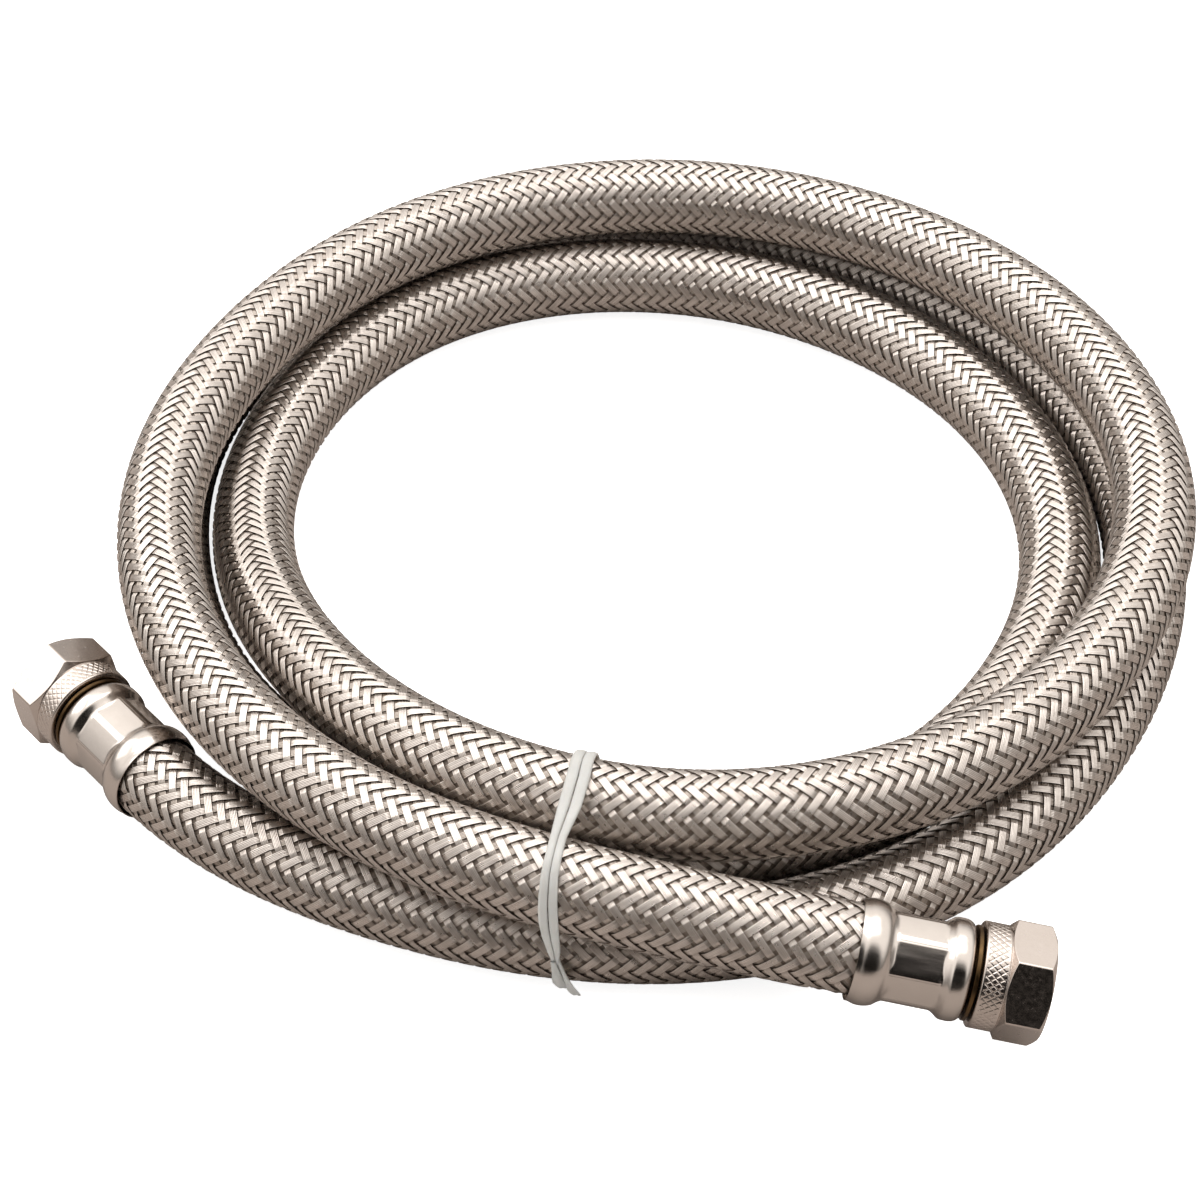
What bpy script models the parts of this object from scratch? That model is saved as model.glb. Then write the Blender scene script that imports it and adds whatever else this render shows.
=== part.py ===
"""Braided supply line: a steel-braided hose lying in a tied coil, with a swivel nut on each end.

Metres, +Z up, the coil lies on the plane z = 0. Lengths in the constants are millimetres.
Each fitting is laid out along its own axis: station 0 is the ferrule's mouth, where the hose
enters, and the stations grow towards the mouth of the nut.
"""

import math

import bmesh
import bpy
from mathutils import Matrix, Vector

MM = 0.001
COLLECTION = "braided_supply_line"

# Hose
HOSE_RADIUS = 7.5
BRAID_WALL = 0.6
LINER_RADIUS = 6.6
LINER_WALL = 2.0
BRAID_BEVEL_RESOLUTION = 4
LINER_BEVEL_RESOLUTION = 2

# The coil: the hose's centreline as (distance from the coil's centre, height above the table),
# at every 30 degrees counter-clockwise from the left, seen from above, one tuple for each lap.
COIL_CENTRE = (7.22, 3.3)
FIRST_ANGLE = 180.0
ANGLE_STEP = 30.0
COIL_LAPS = (
    # first end fitting, then the outer turn on the table
    ((102.3, 12.4), (105.2, 8.9), (93.0, 8.4), (93.1, 9.05), (90.4, 7.8), (86.0, 7.6),
     (88.5, 7.6), (93.5, 7.6), (98.0, 7.6), (103.0, 7.6), (105.0, 7.6), (97.5, 7.6)),
    # inner turn on the table, lifted by the tie at the front
    ((86.9, 7.6), (83.0, 8.2), (77.4, 9.4), (75.2, 10.2), (73.2, 9.6), (70.3, 8.2),
     (73.3, 7.6), (77.7, 7.6), (82.0, 7.6), (87.9, 7.6), (88.7, 7.6), (79.2, 7.6)),
    # climbs over the front and lies on the outer turn
    ((71.5, 10.6), (69.7, 19.3), (76.3, 25.9), (81.9, 25.7), (84.0, 24.5), (84.7, 22.9),
     (89.2, 22.9), (91.2, 22.8), (93.0, 22.2), (95.5, 21.5), (93.4, 21.6), (86.9, 22.5)),
    # front outer run, down to the second end fitting
    ((87.5, 23.1), (89.7, 23.3), (92.2, 23.8), (97.5, 24.8), (112.8, 12.3), (195.0, 6.0)),
)
START_ANGLE = 214.0
END_ANGLE = 286.0 + 3 * 360.0
ROUTE_STEP = 15.0

# Crimped stretch of the hose inside the ferrule
SQUEEZE_START = 3.0
SQUEEZE_END = 6.0
HOSE_END = 16.3
BRAID_SQUEEZED_RADIUS = 6.2
BRAID_SQUEEZED_WALL = 0.5
LINER_SQUEEZED_RADIUS = 5.4
LINER_SQUEEZED_WALL = 1.2

# Ferrule
FERRULE_LENGTH = 18.0
FERRULE_WALL = 0.5
FERRULE_MOUTH_RADIUS = 8.1
FERRULE_BULGE_RADIUS = 8.45
FERRULE_NOSE_RADIUS = 8.15
FERRULE_HOLE_RADIUS = 5.2
WAIST_START = 5.6
WAIST_END = 13.4
WAIST_ACROSS_FLATS = 14.0
WAIST_CORNER_RADIUS = 7.25
WAIST_FLATS = 8

# Stem
STEM_START = 2.0
STEM_BORE_RADIUS = 2.9
STEM_TUBE_RADIUS = 3.6
BARB_RADIUS = 3.9
BARB_PITCH = 3.2
BARB_COUNT = 4
STEM_NECK_RADIUS = 4.9
COLLAR_START = 18.3
COLLAR_END = 19.0
COLLAR_RADIUS = 7.6
HEAD_START = 22.1
HEAD_END = 23.5
HEAD_RADIUS = 6.2

# Swivel nut
NUT_START = 19.3
SKIRT_END = 23.3
NUT_END = 30.5
NUT_WALL_END = 21.8
NUT_HOLE_RADIUS = 5.3
SKIRT_RADIUS = 8.45
SOCKET_RADIUS = 6.95
ACROSS_FLATS = 17.0
ACROSS_CORNERS = ACROSS_FLATS / math.cos(math.pi / 6)
NUT_CHAMFER_RADIUS = 8.6
NUT_CHAMFER_LENGTH = 0.9
NUT_MOUTH_CHAMFER = 0.4

# Seal
SEAL_START = 23.8
SEAL_END = 25.7
SEAL_RADIUS = 6.4
SEAL_TIP_RADIUS = 4.6
SEAL_HOLE_RADIUS = 3.2

# How far each nut and ferrule is turned about its axis, in degrees
NUT_TURN_A = 6.0
NUT_TURN_B = 35.0
FERRULE_TURN_A = 0.0
FERRULE_TURN_B = 4.0

# Tie: a doubled flat strip round the strands at the front, its ends pinched into a tail
TIE_ANGLE = 260.0
TIE_STRIP_WIDTH = 1.5
TIE_GROOVE_WIDTH = 0.3
TIE_THICKNESS = 0.8
TIE_WEB_THICKNESS = 0.45
TIE_GAP = 0.35
TIE_DIRECTIONS = 48
TAIL_LENGTH = 6.5
TAIL_HEIGHT = 0.9
TAIL_ROOT_WIDTH = 2.2
TAIL_TIP_WIDTH = 3.8
TAIL_TURN = 20.0

TURN_STEPS = 24
FINE_TURN_STEPS = 32

MATERIALS = {
    "braid": ((0.62, 0.58, 0.55), 0.34, 1.0),
    "liner": ((0.055, 0.055, 0.06), 0.62, 0.0),
    "ferrule": ((0.72, 0.70, 0.68), 0.16, 1.0),
    "nut": ((0.80, 0.75, 0.70), 0.24, 1.0),
    "brass": ((0.72, 0.50, 0.24), 0.30, 1.0),
    "seal": ((0.035, 0.035, 0.038), 0.70, 0.0),
    "tie": ((0.83, 0.82, 0.78), 0.45, 0.0),
}


def clear_scene():
    for obj in list(bpy.data.objects):
        bpy.data.objects.remove(obj)


def new_collection(name, hidden=False):
    collection = bpy.data.collections.new(name)
    collection.hide_render = hidden
    bpy.context.scene.collection.children.link(collection)
    return collection


def make_material(name):
    colour, roughness, metallic = MATERIALS[name]
    material = bpy.data.materials.new(name)
    material.use_nodes = True
    shader = material.node_tree.nodes["Principled BSDF"]
    shader.inputs["Base Color"].default_value = (*colour, 1.0)
    shader.inputs["Roughness"].default_value = roughness
    shader.inputs["Metallic"].default_value = metallic
    material.diffuse_color = (*colour, 1.0)
    return material


def add_object(name, data, collection, material=None):
    obj = bpy.data.objects.new(name, data)
    collection.objects.link(obj)
    if material is not None:
        data.materials.append(material)
    return obj


# ---------------------------------------------------------------- the hose's route


def coil_rows():
    return [row for lap in COIL_LAPS for row in lap]


def spline_weights(t):
    """Weights of four neighbouring rows in a uniform cubic B-spline."""
    return (
        (1 - t) ** 3 / 6,
        (3 * t**3 - 6 * t**2 + 4) / 6,
        (-3 * t**3 + 3 * t**2 + 3 * t + 1) / 6,
        t**3 / 6,
    )


def coil_point(angle):
    """Centreline point at an angle counted on through the laps, in metres."""
    rows = coil_rows()
    place = (angle - FIRST_ANGLE) / ANGLE_STEP
    first = min(max(int(place), 1), len(rows) - 3)
    weights = spline_weights(place - first)
    radius = 0.0
    height = 0.0
    for weight, row in zip(weights, rows[first - 1 : first + 3]):
        radius += weight * row[0]
        height += weight * row[1]
    turn = math.radians(angle)
    x = COIL_CENTRE[0] + radius * math.cos(turn)
    y = COIL_CENTRE[1] + radius * math.sin(turn)
    return Vector((x, y, height)) * MM


def route_angles():
    """The start, every whole step between, and the end."""
    first = math.ceil((START_ANGLE + ROUTE_STEP / 3) / ROUTE_STEP)
    last = math.floor((END_ANGLE - ROUTE_STEP / 3) / ROUTE_STEP)
    steps = [index * ROUTE_STEP for index in range(first, last + 1)]
    return [START_ANGLE] + steps + [END_ANGLE]


def end_direction(angle, sign):
    """Unit vector along the hose at one end, pointing away from the hose."""
    delta = 0.5
    return (coil_point(angle + sign * delta) - coil_point(angle)).normalized()


def fitting_frame(angle, sign):
    """Matrix whose Z runs along a fitting from its ferrule's mouth, and whose Y leans up."""
    axis = end_direction(angle, sign)
    side = axis.cross(Vector((0, 0, 1))).normalized()
    up = side.cross(axis)
    matrix = Matrix((side, up, axis)).transposed().to_4x4()
    matrix.translation = coil_point(angle)
    return matrix


# ---------------------------------------------------------------- shape helpers


def mesh_from(obj, collection, name, material):
    """Turns a curve or a modified object into a plain mesh object and removes the source."""
    graph = bpy.context.evaluated_depsgraph_get()
    graph.update()
    mesh = bpy.data.meshes.new_from_object(obj.evaluated_get(graph))
    mesh.name = name
    mesh.materials.clear()
    matrix = obj.matrix_world.copy()
    bpy.data.objects.remove(obj)
    result = add_object(name, mesh, collection, material)
    result.matrix_world = matrix
    return result


def weld(mesh, distance=1e-6):
    bm = bmesh.new()
    bm.from_mesh(mesh)
    bmesh.ops.remove_doubles(bm, verts=bm.verts, dist=distance)
    bmesh.ops.recalc_face_normals(bm, faces=bm.faces)
    bm.to_mesh(mesh)
    bm.free()


def turned(name, profile, collection, material, steps=TURN_STEPS):
    """Turns a closed outline of (radius, station) points in mm about the local Z axis."""
    mesh = bpy.data.meshes.new(name)
    points = [(radius * MM, 0.0, station * MM) for radius, station in profile]
    edges = [(i, (i + 1) % len(points)) for i in range(len(points))]
    mesh.from_pydata(points, edges, [])
    obj = add_object(name, mesh, collection)
    screw = obj.modifiers.new("Turn", "SCREW")
    screw.axis = "Z"
    screw.steps = steps
    screw.render_steps = steps
    screw.use_merge_vertices = True
    screw.merge_threshold = 1e-6
    obj = mesh_from(obj, collection, name, material)
    weld(obj.data)
    return obj


def polygon_points(sides, across_flats, phase=0.0):
    corner = across_flats / 2 / math.cos(math.pi / sides)
    turns = [2 * math.pi * i / sides + phase for i in range(sides)]
    return [(corner * math.cos(turn), corner * math.sin(turn)) for turn in turns]


def flat_ring(name, outlines, low, high, collection, material=None):
    """A flat shape between closed outlines in mm, extruded from one station to another."""
    curve = bpy.data.curves.new(name, "CURVE")
    curve.dimensions = "2D"
    curve.fill_mode = "BOTH"
    curve.extrude = (high - low) / 2 * MM
    for outline in outlines:
        spline = curve.splines.new("POLY")
        spline.points.add(len(outline) - 1)
        for point, (x, y) in zip(spline.points, outline):
            point.co = (x * MM, y * MM, 0.0, 1.0)
        spline.use_cyclic_u = True
    obj = add_object(name, curve, collection)
    obj = mesh_from(obj, collection, name, material)
    obj.data.transform(Matrix.Translation((0, 0, (low + high) / 2 * MM)))
    weld(obj.data)
    return obj


def cut(target, cutter):
    cutter.display_type = "WIRE"
    cutter.hide_render = True
    modifier = target.modifiers.new("Cut", "BOOLEAN")
    modifier.operation = "DIFFERENCE"
    modifier.solver = "EXACT"
    modifier.object = cutter


# ---------------------------------------------------------------- hose


def squeezed(station, free, pressed):
    """A size that goes from its free to its pressed value inside the ferrule."""
    share = (station - SQUEEZE_START) / (SQUEEZE_END - SQUEEZE_START)
    share = min(max(share, 0.0), 1.0)
    return free + (pressed - free) * share


def hose_stations():
    """(point, station inside the nearer ferrule) along the whole hose, end to end."""
    inside = (SQUEEZE_START, SQUEEZE_END, HOSE_END)
    start = fitting_frame(START_ANGLE, -1)
    end = fitting_frame(END_ANGLE, 1)
    points = [(start @ Vector((0, 0, s * MM)), s) for s in reversed(inside)]
    points += [(coil_point(angle), 0.0) for angle in route_angles()]
    points += [(end @ Vector((0, 0, s * MM)), s) for s in inside]
    return points


def hose_layer(name, radius, pressed_radius, wall, pressed_wall, resolution, collection, material):
    """One tube of the hose: an open swept surface, thickened inwards."""
    stations = hose_stations()
    curve = bpy.data.curves.new(name, "CURVE")
    curve.dimensions = "3D"
    curve.bevel_depth = radius * MM
    curve.bevel_resolution = resolution
    curve.use_fill_caps = False
    spline = curve.splines.new("POLY")
    spline.points.add(len(stations) - 1)
    for point, (place, station) in zip(spline.points, stations):
        point.co = (*place, 1.0)
        point.radius = squeezed(station, radius, pressed_radius) / radius
    obj = add_object(name, curve, collection)
    obj = mesh_from(obj, collection, name, material)
    sides = len(obj.data.vertices) // len(stations)
    group = obj.vertex_groups.new(name="wall")
    for index in range(len(obj.data.vertices)):
        station = stations[index // sides][1]
        share = squeezed(station, wall, pressed_wall) / wall
        group.add([index], share, "REPLACE")
    solidify = obj.modifiers.new("Wall", "SOLIDIFY")
    solidify.thickness = wall * MM
    solidify.offset = -1.0
    solidify.vertex_group = group.name
    return obj


# ---------------------------------------------------------------- end fittings


def crimp(obj):
    """Presses flats into the waist of a turned ferrule."""
    flat = WAIST_ACROSS_FLATS / 2
    half_step = math.pi / WAIST_FLATS
    corner_share = WAIST_CORNER_RADIUS / flat
    for vertex in obj.data.vertices:
        station = vertex.co.z / MM
        if not WAIST_START - 0.01 < station < WAIST_END + 0.01:
            continue
        turn = math.atan2(vertex.co.y, vertex.co.x)
        offset = (turn + half_step) % (2 * half_step) - half_step
        share = min(1 / math.cos(offset), corner_share)
        vertex.co.x *= share
        vertex.co.y *= share


def ferrule(name, collection, material):
    flat = WAIST_ACROSS_FLATS / 2
    outer = [
        (FERRULE_MOUTH_RADIUS, 0.0),
        (FERRULE_BULGE_RADIUS - 0.12, 1.0),
        (FERRULE_BULGE_RADIUS, 2.4),
        (FERRULE_BULGE_RADIUS - 0.15, 3.6),
        (FERRULE_BULGE_RADIUS - 0.7, 4.7),
        (flat, WAIST_START),
        (flat, WAIST_END),
        (FERRULE_NOSE_RADIUS - 0.3, WAIST_END + 1.1),
        (FERRULE_NOSE_RADIUS, WAIST_END + 2.2),
        (FERRULE_NOSE_RADIUS - 0.1, FERRULE_LENGTH - 1.2),
        (FERRULE_NOSE_RADIUS - 0.6, FERRULE_LENGTH - 0.3),
        (FERRULE_NOSE_RADIUS - 1.2, FERRULE_LENGTH),
        (FERRULE_HOLE_RADIUS, FERRULE_LENGTH),
    ]
    inner = [
        (FERRULE_HOLE_RADIUS, FERRULE_LENGTH - FERRULE_WALL),
        (FERRULE_NOSE_RADIUS - 1.3, FERRULE_LENGTH - FERRULE_WALL),
        (FERRULE_NOSE_RADIUS - FERRULE_WALL, WAIST_END + 2.2),
        (flat - FERRULE_WALL, WAIST_END - 0.1),
        (flat - FERRULE_WALL, WAIST_START + 0.3),
        (FERRULE_BULGE_RADIUS - FERRULE_WALL, 3.0),
        (FERRULE_BULGE_RADIUS - FERRULE_WALL, 1.4),
        (FERRULE_MOUTH_RADIUS - 0.25, 0.0),
    ]
    obj = turned(name, outer + inner, collection, material)
    crimp(obj)
    return obj


def stem(name, collection, material):
    """Hollow barbed stem with the collar that shows behind the nut and the head inside it."""
    outer = [(STEM_BORE_RADIUS, STEM_START), (STEM_TUBE_RADIUS, STEM_START)]
    for index in range(BARB_COUNT):
        base = STEM_START + 0.6 + index * BARB_PITCH
        outer.append((STEM_TUBE_RADIUS, base))
        outer.append((BARB_RADIUS, base + BARB_PITCH * 0.7))
        outer.append((STEM_TUBE_RADIUS, base + BARB_PITCH * 0.8))
    outer += [
        (STEM_TUBE_RADIUS, HOSE_END + 0.4),
        (STEM_NECK_RADIUS, HOSE_END + 0.6),
        (STEM_NECK_RADIUS, COLLAR_START),
        (COLLAR_RADIUS, COLLAR_START),
        (COLLAR_RADIUS, COLLAR_END),
        (STEM_NECK_RADIUS, COLLAR_END),
        (STEM_NECK_RADIUS, HEAD_START),
        (HEAD_RADIUS, HEAD_START),
        (HEAD_RADIUS, HEAD_END - 0.4),
        (HEAD_RADIUS - 0.5, HEAD_END),
        (STEM_BORE_RADIUS, HEAD_END),
    ]
    return turned(name, outer, collection, material)


def swivel_nut(name, collection, cutters, material):
    corner = ACROSS_CORNERS / 2
    profile = [
        (NUT_HOLE_RADIUS, NUT_START),
        (SKIRT_RADIUS - 0.3, NUT_START),
        (SKIRT_RADIUS, NUT_START + 0.3),
        (SKIRT_RADIUS, SKIRT_END),
        (NUT_CHAMFER_RADIUS, SKIRT_END),
        (corner + 0.2, SKIRT_END + NUT_CHAMFER_LENGTH),
        (corner + 0.2, NUT_END - NUT_CHAMFER_LENGTH),
        (NUT_CHAMFER_RADIUS, NUT_END),
        (SOCKET_RADIUS + NUT_MOUTH_CHAMFER, NUT_END),
        (SOCKET_RADIUS, NUT_END - NUT_MOUTH_CHAMFER),
        (SOCKET_RADIUS, NUT_WALL_END),
        (NUT_HOLE_RADIUS, NUT_WALL_END),
    ]
    obj = turned(name, profile, collection, material, FINE_TURN_STEPS)
    outlines = (
        polygon_points(FINE_TURN_STEPS, 4 * corner),
        polygon_points(6, ACROSS_FLATS, phase=math.pi / 6),
    )
    cutter = flat_ring(name + "_flats_cutter", outlines, SKIRT_END - 0.2, NUT_END + 1.0, cutters)
    cut(obj, cutter)
    return obj, cutter


def seal(name, collection, material):
    profile = [
        (SEAL_HOLE_RADIUS, SEAL_START),
        (SEAL_RADIUS, SEAL_START),
        (SEAL_RADIUS, SEAL_START + 0.7),
        (SEAL_TIP_RADIUS, SEAL_END),
        (SEAL_HOLE_RADIUS, SEAL_END),
    ]
    return turned(name, profile, collection, material)


def end_fitting(letter, angle, sign, nut_turn, ferrule_turn, collection, cutters, materials):
    """Ferrule, stem, swivel nut and seal of one end, hung on an empty on the fitting's axis."""
    frame = bpy.data.objects.new("fitting_" + letter, None)
    collection.objects.link(frame)
    frame.matrix_world = fitting_frame(angle, sign)
    ferrule_obj = ferrule("ferrule_" + letter, collection, materials["ferrule"])
    stem_obj = stem("stem_" + letter, collection, materials["brass"])
    nut_name = "swivel_nut_" + letter
    nut_obj, cutter = swivel_nut(nut_name, collection, cutters, materials["nut"])
    seal_obj = seal("cone_seal_" + letter, collection, materials["seal"])
    for obj in (ferrule_obj, stem_obj, nut_obj, cutter, seal_obj):
        obj.parent = frame
    ferrule_obj.rotation_euler.z = math.radians(ferrule_turn)
    for obj in (nut_obj, cutter):
        obj.rotation_euler.z = math.radians(nut_turn)


# ---------------------------------------------------------------- tie


def strand_centres():
    """Where each strand's straight-sided centreline crosses the tie's plane, as (radius, height)."""
    below = math.floor(TIE_ANGLE / ROUTE_STEP) * ROUTE_STEP
    outward = Vector((math.cos(math.radians(TIE_ANGLE)), math.sin(math.radians(TIE_ANGLE)), 0))
    across = Vector((-outward.y, outward.x, 0))
    centre = Vector((*COIL_CENTRE, 0)) * MM
    found = []
    for lap in range(len(COIL_LAPS)):
        start = coil_point(below + 360 * lap) - centre
        end = coil_point(below + ROUTE_STEP + 360 * lap) - centre
        share = start.dot(across) / (start.dot(across) - end.dot(across))
        point = start.lerp(end, share)
        found.append(Vector((point.dot(outward), point.z)) / MM)
    return found


def wrap_outline(distance):
    """Outline drawn tight round circles of one radius on the strands' centres, in mm."""
    centres = strand_centres()
    outline = []
    for index in range(TIE_DIRECTIONS):
        turn = 2 * math.pi * index / TIE_DIRECTIONS
        direction = Vector((math.cos(turn), math.sin(turn)))
        outermost = max(centres, key=direction.dot)
        outline.append(tuple(outermost + distance * direction))
    return outline


def tie_tail(collection):
    """The pinched ends: a flat tongue that widens towards its tip, lying on the table."""
    bm = bmesh.new()
    bmesh.ops.create_cube(bm, size=1.0)
    for vertex in bm.verts:
        width = TAIL_TIP_WIDTH if vertex.co.x > 0 else TAIL_ROOT_WIDTH
        vertex.co.x *= TAIL_LENGTH * MM
        vertex.co.y *= TAIL_HEIGHT * MM
        vertex.co.z *= width * MM
    mesh = bpy.data.meshes.new("tie_tail")
    bm.to_mesh(mesh)
    bm.free()
    return add_object("tie_tail", mesh, collection)


def tie(collection, cutters, material):
    """Two strips joined by a web, wrapped round the bundle, with the tail joined on."""
    inner = HOSE_RADIUS + TIE_GAP
    half = TIE_GROOVE_WIDTH / 2
    strip = (wrap_outline(inner + TIE_THICKNESS), wrap_outline(inner))
    web = (wrap_outline(inner + TIE_WEB_THICKNESS), wrap_outline(inner))
    reach = half + TIE_STRIP_WIDTH
    band = flat_ring("tie", strip, -reach, -half, collection, material)
    other = flat_ring("tie_second_strip", strip, half, reach, cutters)
    joint = flat_ring("tie_web", web, -half - 0.3, half + 0.3, cutters)
    tail = tie_tail(cutters)
    outline = strip[0]
    lowest = min(y for x, y in outline)
    foot_x = max(x for x, y in outline if y < lowest + 1.2)
    tail_place = Vector((foot_x + TAIL_LENGTH / 2 - 2.5, lowest + TAIL_HEIGHT / 2, 0)) * MM
    tail.matrix_world = Matrix.Translation(tail_place)

    turn = math.radians(TIE_ANGLE)
    outward = Vector((math.cos(turn), math.sin(turn), 0))
    up = Vector((0, 0, 1))
    frame = Matrix((outward, up, outward.cross(up))).transposed().to_4x4()
    frame.translation = Vector((*COIL_CENTRE, 0)) * MM
    for obj in (band, other, joint, tail):
        obj.matrix_world = frame @ obj.matrix_world
    for obj in (other, joint, tail):
        obj.display_type = "WIRE"
        obj.hide_render = True
        modifier = band.modifiers.new("Join", "BOOLEAN")
        modifier.operation = "UNION"
        modifier.solver = "EXACT"
        modifier.object = obj


# ---------------------------------------------------------------- build


def main():
    clear_scene()
    parts = new_collection(COLLECTION)
    cutters = new_collection("cutters", hidden=True)
    materials = {name: make_material(name) for name in MATERIALS}
    hose_layer("hose_braid", HOSE_RADIUS, BRAID_SQUEEZED_RADIUS, BRAID_WALL,
               BRAID_SQUEEZED_WALL, BRAID_BEVEL_RESOLUTION, parts, materials["braid"])
    hose_layer("inner_liner", LINER_RADIUS, LINER_SQUEEZED_RADIUS, LINER_WALL,
               LINER_SQUEEZED_WALL, LINER_BEVEL_RESOLUTION, parts, materials["liner"])
    end_fitting("a", START_ANGLE, -1, NUT_TURN_A, FERRULE_TURN_A, parts, cutters, materials)
    end_fitting("b", END_ANGLE, 1, NUT_TURN_B, FERRULE_TURN_B, parts, cutters, materials)
    tie(parts, cutters, materials["tie"])


main()
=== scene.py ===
"""Braided supply line: the visual model on its CAD frame.

The steel braid is woven wire by wire along the hose's own route. The fittings are turned, crimped
and knurled in mesh code. Lengths in the constants are millimetres; the row frame is in metres.
"""

import math

import bpy
import numpy as np
from mathutils import Matrix, Vector


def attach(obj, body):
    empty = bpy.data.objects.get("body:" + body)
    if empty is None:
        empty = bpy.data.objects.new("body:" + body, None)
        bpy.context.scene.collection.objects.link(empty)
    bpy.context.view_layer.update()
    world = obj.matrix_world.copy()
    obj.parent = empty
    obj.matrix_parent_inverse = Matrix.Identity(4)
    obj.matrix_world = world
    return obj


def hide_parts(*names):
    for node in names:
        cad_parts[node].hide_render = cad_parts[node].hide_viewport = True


MM = 0.001

# Camera
CAMERA_PLACE = (-2.68, -440.8, 398.0)
CAMERA_TILT = 48.0
CAMERA_LENS = 97.71

# The coil: the hose's centreline as (distance from the coil's centre, height above the table),
# at every 30 degrees counter-clockwise from the left, seen from above, one tuple for each lap.
COIL_CENTRE = (7.22, 3.3)
FIRST_ANGLE = 180.0
ANGLE_STEP = 30.0
COIL_LAPS = (
    # first end fitting, then the outer turn on the table
    ((102.3, 12.4), (105.2, 8.9), (93.0, 8.4), (93.1, 9.05), (90.4, 7.8), (86.0, 7.6),
     (88.5, 7.6), (93.5, 7.6), (98.0, 7.6), (103.0, 7.6), (105.0, 7.6), (97.5, 7.6)),
    # inner turn on the table, lifted by the tie at the front
    ((86.9, 7.6), (83.0, 8.2), (77.4, 9.4), (75.2, 10.2), (73.2, 9.6), (70.3, 8.2),
     (73.3, 7.6), (77.7, 7.6), (82.0, 7.6), (87.9, 7.6), (88.7, 7.6), (79.2, 7.6)),
    # climbs over the front and lies on the outer turn
    ((71.5, 10.6), (69.7, 19.3), (76.3, 25.9), (81.9, 25.7), (84.0, 24.5), (84.7, 22.9),
     (89.2, 22.9), (91.2, 22.8), (93.0, 22.2), (95.5, 21.5), (93.4, 21.6), (86.9, 22.5)),
    # front outer run, down to the second end fitting
    ((87.5, 23.1), (89.7, 23.3), (92.2, 23.8), (97.5, 24.8), (112.8, 12.3), (195.0, 6.0)),
)
START_ANGLE = 214.0
END_ANGLE = 286.0 + 3 * 360.0
ROUTE_SAMPLES = 9000

# Hose and braid
HOSE_DIAMETER = 15.0
LINER_RADIUS = 6.86
LINER_SIDES = 28
LINER_STEP = 3.0
BRAID_REACH = 2.6  # how far the braid goes on inside each ferrule
STRANDS = 16  # bands in each direction
BRAID_LEAD = 43.9  # axial length of one turn of a band
BRAID_MEAN_RADIUS = 7.22
BRAID_WAVE = 0.135
WIRES = 5
WIRE_PITCH = 0.25
WIRE_RIDGE = 0.042
BAND_THICKNESS = 0.22
DIVE_HEIGHT = 0.88
# A band's height through four crossings, two over and two under, as (crossings, height).
WEAVE = (
    (0.5, 1.0), (1.16, 0.98), (1.31, 0.88), (1.69, -0.88), (1.84, -0.98), (2.5, -1.0),
    (3.16, -0.98), (3.31, -0.88), (3.69, 0.88), (3.84, 0.98),
)

# Ferrule
FERRULE_LENGTH = 18.0
FERRULE_MOUTH_RADIUS = 8.1
FERRULE_BULGE_RADIUS = 8.45
FERRULE_NOSE_RADIUS = 8.15
FERRULE_HOLE_RADIUS = 5.2
WAIST_START = 5.6
WAIST_END = 13.4
WAIST_RADIUS = 7.0
WAIST_FLATS = 8
WAIST_CROWN = 0.10  # how far each flat still bulges
FERRULE_TURN_A = 0.0
FERRULE_TURN_B = 4.0

# Stem, nut and seal
COLLAR_START = 18.3
COLLAR_END = 19.0
COLLAR_RADIUS = 7.6
NECK_RADIUS = 4.9
HEAD_START = 22.1
HEAD_END = 23.5
HEAD_RADIUS = 6.2
STEM_BORE_RADIUS = 2.9
NUT_START = 19.3
SKIRT_END = 23.3
NUT_END = 30.5
NUT_WALL_END = 21.8
NUT_HOLE_RADIUS = 5.3
SKIRT_RADIUS = 8.45
SOCKET_RADIUS = 6.95
ACROSS_FLATS = 17.0
NUT_FACE_RADIUS = 8.45
NUT_CHAMFER_SLOPE = 0.62
THREAD_PITCH = 1.058
THREAD_DEPTH = 0.42
KNURL_LINES = 46
KNURL_TILT = 40.0
KNURL_DEPTH = 0.10
KNURL_WIDTH = 0.14
HEX_CORNER = 0.5
EDGE_ROUND = 0.11
NUT_TURN_A = 6.0
NUT_TURN_B = 35.0

# Tie
TIE_ANGLE = 260.0
TIE_PINCH = -20.0
# Round the bundle from the pinch: (degrees, middle line, half width) in mm
TIE_ROWS = (
    (0.0, -0.75, 0.62), (4.0, -0.72, 0.75), (11.0, -0.60, 1.10), (26.0, -0.30, 1.42),
    (42.0, -0.16, 1.58), (62.0, 0.15, 1.42), (82.0, 0.05, 1.36), (104.0, -0.56, 1.85),
    (126.0, -0.95, 1.92), (184.0, -0.95, 1.7), (294.0, -0.8, 1.4), (346.0, -0.75, 0.8),
    (360.0, -0.75, 0.62),
)
TAIL_START = -0.75
TAIL_END = -2.9

TIE_STATIONS = 260
TAIL_LENGTHS = {1: 6.6, -1: 7.2}  # by the side of the strip that each end goes on from
TAIL_STATIONS = 34

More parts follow.
